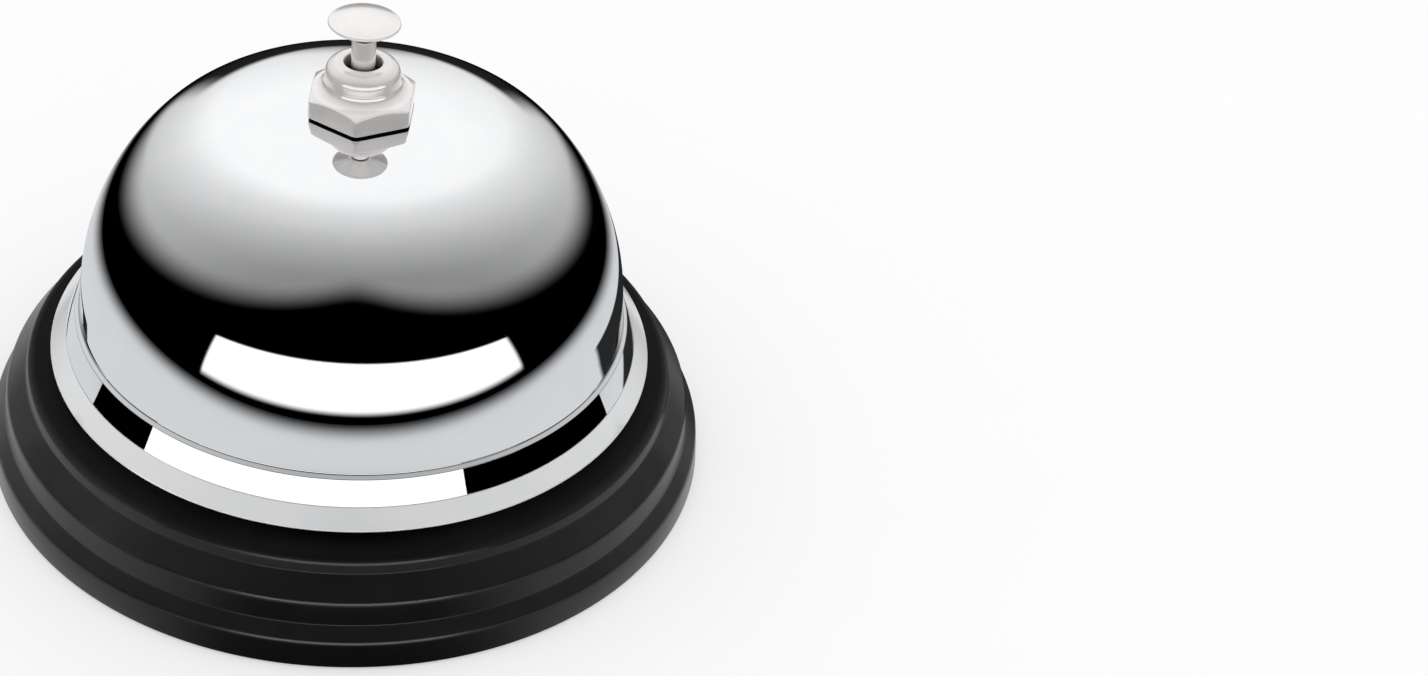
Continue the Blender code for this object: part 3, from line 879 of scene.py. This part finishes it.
def make_spring(mat):
    """Coil with closed, dressed ends, round the rod's stem inside the post."""
    lowest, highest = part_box("return_spring")
    bottom = lowest.z + SPRING_WIRE
    top = highest.z - SPRING_WIRE
    per_turn = 40
    closed_rise = 2.0 * SPRING_WIRE + 0.00008
    open_turns = SPRING_TURNS - 2
    pitch = (top - bottom - 2.0 * closed_rise) / open_turns
    curve = bpy.data.curves.new("spring_path", "CURVE")
    curve.dimensions = "3D"
    curve.bevel_depth = SPRING_WIRE
    curve.bevel_resolution = 4
    curve.use_fill_caps = True
    spline = curve.splines.new("POLY")
    count = SPRING_TURNS * per_turn + 1
    spline.points.add(count - 1)
    for i in range(count):
        turn = i / per_turn
        middle = min(max(turn - 1.0, 0.0), open_turns)
        angle = 2.0 * pi * turn
        z = bottom + (turn - middle) * closed_rise + middle * pitch
        spline.points[i].co = (SPRING_RADIUS * cos(angle), SPRING_RADIUS * sin(angle), z, 1.0)
    path = add("spring_path", curve)
    bpy.context.view_layer.update()
    evaluated = path.evaluated_get(bpy.context.evaluated_depsgraph_get())
    coil = add("coil", bpy.data.meshes.new_from_object(evaluated))
    bpy.data.objects.remove(path, do_unlink=True)
    weld = coil.modifiers.new("weld", "WELD")
    weld.merge_threshold = 0.000005
    stand_for(coil, "return_spring", "housing", mat)
    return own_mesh(coil)


# ---------------------------------------------------------------- striker
TILT = Matrix.Translation(PIVOT) @ Matrix.Rotation(REST_ANGLE, 4, "X")


def make_lever(mat):
    """Bent strip lever with a barrel on the pin and a rolled tip under the rod."""
    tip_angle = pi - SWING / 2.0 - REST_ANGLE
    tip = (LEVER_IN * cos(tip_angle), LEVER_IN * sin(tip_angle))
    path = rounded([tip, (0.0, 0.0), (LEVER_OUT, 0.0)], (0.0015,), steps=8)
    half = LEVER_WIDTH / 2.0
    lever = strip("lever", path, -half, half, "X")
    solidify(lever, LEVER_SHEET, 0.0)
    bevel(lever, 0.00016, 2)
    bake(lever)
    barrel_length = 2.0 * (FRAME_LEG_X - FRAME_SHEET / 2.0 - GAP - 0.0001)
    cut(lever, cylinder("barrel", BARREL_RADIUS, barrel_length, (0, 0, 0), axis="X"), "UNION")
    cut(lever, cylinder("tip", TIP_RADIUS, LEVER_WIDTH + 0.0006, (0, *tip), axis="X", segments=32), "UNION")
    cut(lever, cylinder("pin_bore", PIN_RADIUS + GAP, 0.030, (0, 0, 0), axis="X"))
    cut(lever, cylinder("shank_bore", RIVET_SHANK + GAP, 0.004, (0, HAMMER_AT, 0)))
    lever.data.transform(TILT)
    return stand_for(lever, "striker_arm", "striker", mat)


def make_hammer(mat):
    """Turned brass hammer riveted through the lever's outer end."""
    seat = LEVER_SHEET / 2.0 + GAP
    top = seat + HAMMER_HEIGHT
    tail = 0.0018
    corners = [
        (0.0, top),
        (HAMMER_RADIUS, top - 0.0004),
        (HAMMER_RADIUS, seat),
        (RIVET_SHANK, seat),
        (RIVET_SHANK, -seat),
        (tail, -seat),
        (tail * 0.8, -seat - 0.0006),
        (0.0, -seat - 0.0006),
    ]
    radii = (0.0009, 0.0003, 0.0001, 0.0001, 0.0001, 0.0003)
    profile = rounded(corners, radii, steps=6)
    hammer = bake(turned("hammer", profile, SMALL_ROUND))
    hammer.data.transform(TILT @ Matrix.Translation((0.0, HAMMER_AT, 0.0)))
    return stand_for(hammer, "hammer_head", "striker", mat)


def make_pivot(steel, spring_steel):
    """Headed pin through both legs of the frame, held by a clip in a groove at its +X end."""
    leg_face = FRAME_LEG_X + FRAME_SHEET / 2.0
    head_in = -(leg_face + GAP)
    head_out = low("pivot_pin").x
    head_radius = 0.0019
    groove_radius = 0.0007
    groove_start = leg_face + GAP
    groove_end = groove_start + 0.0010
    pin_end = high("pivot_pin").x
    corners = [
        (0.0, pin_end),
        (PIN_RADIUS, pin_end),
        (PIN_RADIUS, groove_end),
        (groove_radius, groove_end),
        (groove_radius, groove_start),
        (PIN_RADIUS, groove_start),
        (PIN_RADIUS, head_in),
        (head_radius, head_in),
        (head_radius, head_out),
        (0.0, head_out),
    ]
    tiny = 0.00006
    radii = (0.0003, tiny, tiny, tiny, tiny, tiny, tiny, 0.0005)
    pin = bake(turned("pin", rounded(corners, radii, steps=5), SMALL_ROUND))
    along_x = Matrix.Translation(PIVOT) @ Matrix.Rotation(pi / 2.0, 4, "Y")
    pin.data.transform(along_x)
    stand_for(pin, "pivot_pin", "housing", steel)

    clip_radius = 0.0022
    lowest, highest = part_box("pivot_clip")
    middle = (lowest.x + highest.x) / 2.0
    half = (highest.x - lowest.x) / 2.0
    inner = groove_radius + GAP
    soft = half * 0.4
    corners = [(inner, middle + half), (clip_radius, middle + half)]
    corners += [(clip_radius, middle - half), (inner, middle - half)]
    clip = bake(turned("clip", ring_outline(corners, (soft,) * 4), SMALL_ROUND, loop=True))
    clip.data.transform(along_x)
    mouth_at = PIVOT + Vector((middle, 0.0, clip_radius))
    cut(clip, cylinder("clip_mouth", 0.0015, 0.003, mouth_at, axis="X", segments=48))
    stand_for(clip, "pivot_clip", "housing", spring_steel)


# ---------------------------------------------------------------- studio
FRONT = -1.0  # the camera's side of the bell is -Y
CARD_RADIUS = 0.050
CARD_HEIGHTS = (0.0095, 0.0190)  # lowest and highest point of the cards that the band mirrors
CARD_SLOPES = (0.27, 0.29)  # the cards fade out between these slopes of the reflected ray
GLOW_WIDTH = 0.128  # the lit oval of floor, from its middle
GLOW_DEPTH = 0.092
GLOW_FORWARD = 0.004  # how far its middle lies in front of the bell's axis
GLOW_RIM = 1.08  # where the oval ends, as a share of its size
OVERHEAD_AIM = (-0.05, 0.766, 0.643)  # the way to the brightest part of the overhead light
OVERHEAD_EDGE = 47.0  # degrees up at which the overhead light starts in front
OVERHEAD_FALL = 0.385  # degrees by which that edge drops for each degree round to the side
STRIP_TOP = 10.8  # the white strip in front, in degrees up, and round from the front
STRIP_BOTTOM = -13.6
STRIP_LEFT = 58.0
STRIP_RIGHT = 66.0
STRIP_BOW = 0.0004  # how much its long edges curve
STRIP_BRIGHTNESS = 1.15
SOFTBOX_DISTANCE = 0.6


def studio_light(graph, direction):
    """Brightness of the studio a polished surface sees in a direction: azimuth 0 is the front."""
    x, y, z = graph.split(direction)
    azimuth = graph.math("DEGREES", graph.math("ARCTAN2", x, graph.times(y, FRONT)))
    elevation = graph.math("DEGREES", graph.math("ARCSINE", z))
    away = graph.math("ABSOLUTE", azimuth)

    softened = graph.math("SQRT", graph.add(graph.times(azimuth, azimuth), 100.0))
    edge = graph.add(graph.times(softened, -OVERHEAD_FALL), OVERHEAD_EDGE)
    above = graph.step(graph.math("SUBTRACT", elevation, edge), -5.0, 9.0)
    aim_x, aim_y, aim_z = OVERHEAD_AIM
    tilt = graph.add(graph.times(y, aim_y), graph.times(z, aim_z))
    tilt = graph.add(tilt, graph.times(x, aim_x))
    stops = (
        (0.0, 0.26),
        (0.15, 0.32),
        (0.30, 0.385),
        (0.45, 0.46),
        (0.60, 0.57),
        (0.70, 0.65),
        (0.80, 0.73),
        (0.88, 0.83),
        (0.95, 0.99),
        (1.0, 1.05),
    )
    overhead = graph.times(above, graph.ramp(tilt, stops))
    behind = graph.times(graph.step(away, 156.0, 166.0), graph.step(elevation, 11.0, 3.0))
    overhead = graph.times(overhead, graph.add(graph.times(behind, -0.98), 1.0))

    bow = graph.times(graph.times(azimuth, azimuth), STRIP_BOW)
    top = graph.math("SUBTRACT", graph.math("SUBTRACT", STRIP_TOP, graph.times(bow, 3.5)), elevation)
    bottom = graph.math("SUBTRACT", elevation, graph.add(graph.times(bow, 1.5), STRIP_BOTTOM))
    left = graph.add(azimuth, graph.add(graph.times(elevation, -0.2), STRIP_LEFT))
    right = graph.math("SUBTRACT", graph.add(graph.times(elevation, -0.33), STRIP_RIGHT), azimuth)
    strip_light = graph.times(graph.step(top, -0.5, 0.5), graph.step(bottom, -2.0, 2.0))
    strip_light = graph.times(strip_light, graph.step(left, -0.8, 0.8))
    strip_light = graph.times(strip_light, graph.step(right, -1.2, 1.2))
    return graph.math("MAXIMUM", overhead, graph.times(strip_light, STRIP_BRIGHTNESS))


def make_world():
    """Plain pale surroundings for the camera, a designed light studio for reflections."""
    world = bpy.data.worlds.new("studio")
    bpy.context.scene.world = world
    world.use_nodes = True
    world.cycles.sampling_method = "NONE"
    graph = Graph(world.node_tree)
    direction = graph.node("TexCoord").outputs["Generated"]
    reflected = graph.node("LightPath").outputs["Is Glossy Ray"]
    background = world.node_tree.nodes["Background"]
    light = studio_light(graph, direction)
    plain = (STUDIO_WHITE, STUDIO_WHITE, STUDIO_WHITE)
    graph.feed(background.inputs["Color"], graph.mix(reflected, plain, light))
    background.inputs["Strength"].default_value = 1.0


def make_floor():
    """Pale floor. Reflections see it as a lit table top that fades out, with two dark patches."""
    mesh = bpy.data.meshes.new("floor")
    reach = 3.0
    corners = [(-reach, -reach, 0), (reach, -reach, 0), (reach, reach, 0), (-reach, reach, 0)]
    mesh.from_pydata(corners, [], [(0, 1, 2, 3)])
    floor = add("floor", mesh)
    floor.location.z = -0.00004  # just under the rubber ring
    mat = bpy.data.materials.new("pale_floor")
    mat.use_nodes = True
    mat.cycles.emission_sampling = "NONE"
    mesh.materials.append(mat)
    graph = Graph(mat.node_tree)
    nodes = mat.node_tree.nodes
    paper = nodes["Principled BSDF"]
    paper.inputs["Roughness"].default_value = 1.0
    paper.inputs["Specular IOR Level"].default_value = 0.0
    place = graph.node("TexCoord").outputs["Object"]
    fleck = graph.noise(place, 40.0, 3.0, 0.6)
    graph.feed(paper.inputs["Base Color"], graph.mix(fleck, (0.99, 0.99, 0.99), (0.97, 0.97, 0.97)))

    x, y, _ = graph.split(place)
    across = graph.times(x, 1.0 / GLOW_WIDTH)
    along = graph.times(graph.add(y, GLOW_FORWARD), 1.0 / GLOW_DEPTH)
    radius = graph.math("SQRT", graph.add(graph.times(across, across), graph.times(along, along)))
    stops = ((0.0, 0.72), (0.5, 0.70), (0.60, 0.69), (0.70, 0.68), (0.79, 0.40), (0.90, 0.10), (1.0, 0.0))
    glow = graph.ramp(graph.times(radius, 1.0 / GLOW_RIM), stops)
    turn = graph.math("DEGREES", graph.math("ARCTAN2", x, graph.times(y, FRONT)))
    angle = graph.math("ABSOLUTE", turn)
    from_axis = graph.math("SQRT", graph.add(graph.times(x, x), graph.times(y, y)))
    # One dark patch lies in front of the base, the other beside and behind its right half.
    front_patch = graph.times(graph.step(angle, 42.0, 14.0), graph.step(from_axis, 0.063, 0.056))
    side_patch = graph.times(graph.step(turn, 93.0, 96.0), graph.step(from_axis, 0.068, 0.066))
    shade = graph.math("MAXIMUM", front_patch, side_patch)
    glow = graph.times(glow, graph.add(graph.times(shade, -0.97), 1.0))
    card = graph.node("Emission")
    graph.feed(card.inputs["Color"], (0.955, 0.975, 1.0))
    graph.feed(card.inputs["Strength"], glow)
    rim = graph.step(radius, GLOW_RIM - 0.01, GLOW_RIM + 0.01)
    beyond = graph.blend(rim, card, graph.node("BsdfTransparent"))
    lit_paper = graph.blend(0.45, paper, graph.node("Emission"))
    seen = graph.blend(graph.node("LightPath").outputs["Is Glossy Ray"], lit_paper, beyond)
    graph.feed(nodes["Material Output"].inputs["Surface"], seen.outputs[0])


def make_card(name, start, end, brightness):
    """A curved card beside the bell, seen only in the gong's band; angles run from the front to +X.

    Steeper reflections, from the gong's wall, pass through it.
    """
    steps = 16
    verts = []
    for i in range(steps + 1):
        angle = start + (end - start) * i / steps
        for z in CARD_HEIGHTS:
            verts.append((CARD_RADIUS * sin(angle), FRONT * CARD_RADIUS * cos(angle), z))
    faces = [(2 * i, 2 * i + 2, 2 * i + 3, 2 * i + 1) for i in range(steps)]
    mesh = bpy.data.meshes.new(name)
    mesh.from_pydata(verts, [], faces)
    card = add(name, mesh)
    mat = bpy.data.materials.new(name)
    mat.use_nodes = True
    mat.cycles.emission_sampling = "NONE"
    mesh.materials.append(mat)
    graph = Graph(mat.node_tree)
    glow = graph.node("Emission")
    glow.inputs["Strength"].default_value = brightness
    slope = graph.math("ABSOLUTE", graph.split(graph.node("NewGeometry").outputs["Incoming"])[2])
    shown = graph.blend(graph.step(slope, *CARD_SLOPES), glow, graph.node("BsdfTransparent"))
    graph.feed(mat.node_tree.nodes["Material Output"].inputs["Surface"], shown.outputs[0])
    card.visible_camera = False
    card.visible_diffuse = False
    card.visible_transmission = False
    card.visible_shadow = False


def make_softbox(name, receivers, angle, elevation, width, height, power, mirrored):
    """A soft light linked to the receivers alone: either seen in reflections or shading, not both."""
    data = bpy.data.lights.new(name, "AREA")
    data.shape = "RECTANGLE"
    data.size = width
    data.size_y = height
    data.energy = power
    light = add(name, data)
    away = Vector((sin(angle) * cos(elevation), FRONT * cos(angle) * cos(elevation), sin(elevation)))
    turn = away.to_track_quat("Z", "Y").to_matrix().to_4x4()
    light.matrix_world = Matrix.Translation(away * SOFTBOX_DISTANCE) @ turn
    light.visible_camera = False
    light.visible_glossy = mirrored
    light.visible_diffuse = not mirrored
    light.light_linking.receiver_collection = receivers


def make_camera():
    """Looks down on the bell from the front, which sits left of the middle of a wide frame."""
    aim = Vector((0.0, 0.0, 0.01329))
    distance = 0.3065
    elevation = radians(37.42)
    roll = radians(1.86)
    pan = radians(-8.08)
    back = Vector((0.0, -cos(elevation), sin(elevation)))
    data = bpy.data.cameras.new("camera")
    data.sensor_width = 36.0
    data.lens = 63.87
    data.clip_start = 0.01
    data.clip_end = 20.0
    camera = add("camera", data)
    look = (-back).to_track_quat("-Z", "Y").to_matrix().to_4x4()
    turn = Matrix.Rotation(roll, 4, "Z") @ Matrix.Rotation(pan, 4, "Y")
    camera.matrix_world = Matrix.Translation(aim + back * distance) @ look @ turn
    bpy.context.scene.camera = camera


# ---------------------------------------------------------------- put together
chrome = chrome_material()
enamel = enamel_material()
zinc = zinc_material()
rubber = rubber_material()
fibre = fibre_material()
# the nickel's crevices, the hole and the seams get painted shade, nearly black
nickel = turned_metal(
    "bright_nickel", (0.93, 0.905, 0.89), 0.10, marks=0.03, tarnish=0.04, metallic=0.42, crevice_shade=0.97
)
steel = turned_metal("turned_steel", (0.50, 0.50, 0.51), 0.28, marks=0.10)
spring_steel = turned_metal("spring_steel", (0.40, 0.40, 0.42), 0.26, marks=0.08, tarnish=0.25)
brass = turned_metal("turned_brass", (0.78, 0.56, 0.26), 0.22, marks=0.08, tarnish=0.30)

base = make_base(enamel)
make_ring(rubber)
make_frame(zinc)
make_rivets(steel)
make_post(zinc)
make_nut("post_nut", radians(12.0), zinc)
make_nut("gong_support_nut", radians(31.0), zinc)
make_washers(spring_steel, fibre)
make_gong(chrome)
make_cap_nut(nickel)
make_rod(nickel)
make_button(nickel)
make_spring(spring_steel)
make_lever(zinc)
make_hammer(brass)
make_pivot(steel, spring_steel)

make_world()
make_floor()
make_card("right_black_card", radians(29.3), radians(80.0), 0.0)
make_card("left_white_card", radians(-55.1), radians(-40.0), STRIP_BRIGHTNESS)
make_card("left_black_card", radians(-78.0), radians(-55.1), 0.0)
base_only = bpy.data.collections.new("lit_by_softboxes")
base_only.objects.link(base)
make_softbox("left_softbox", base_only, radians(-102.0), radians(4.0), 0.3, 0.2, 30.0, False)
make_softbox("right_softbox", base_only, radians(102.0), radians(4.0), 0.3, 0.2, 30.0, False)
make_softbox("front_softbox", base_only, 0.0, radians(12.0), 0.7, 0.16, 2.0, True)
make_camera()
bpy.context.scene.view_settings.view_transform = "Standard"
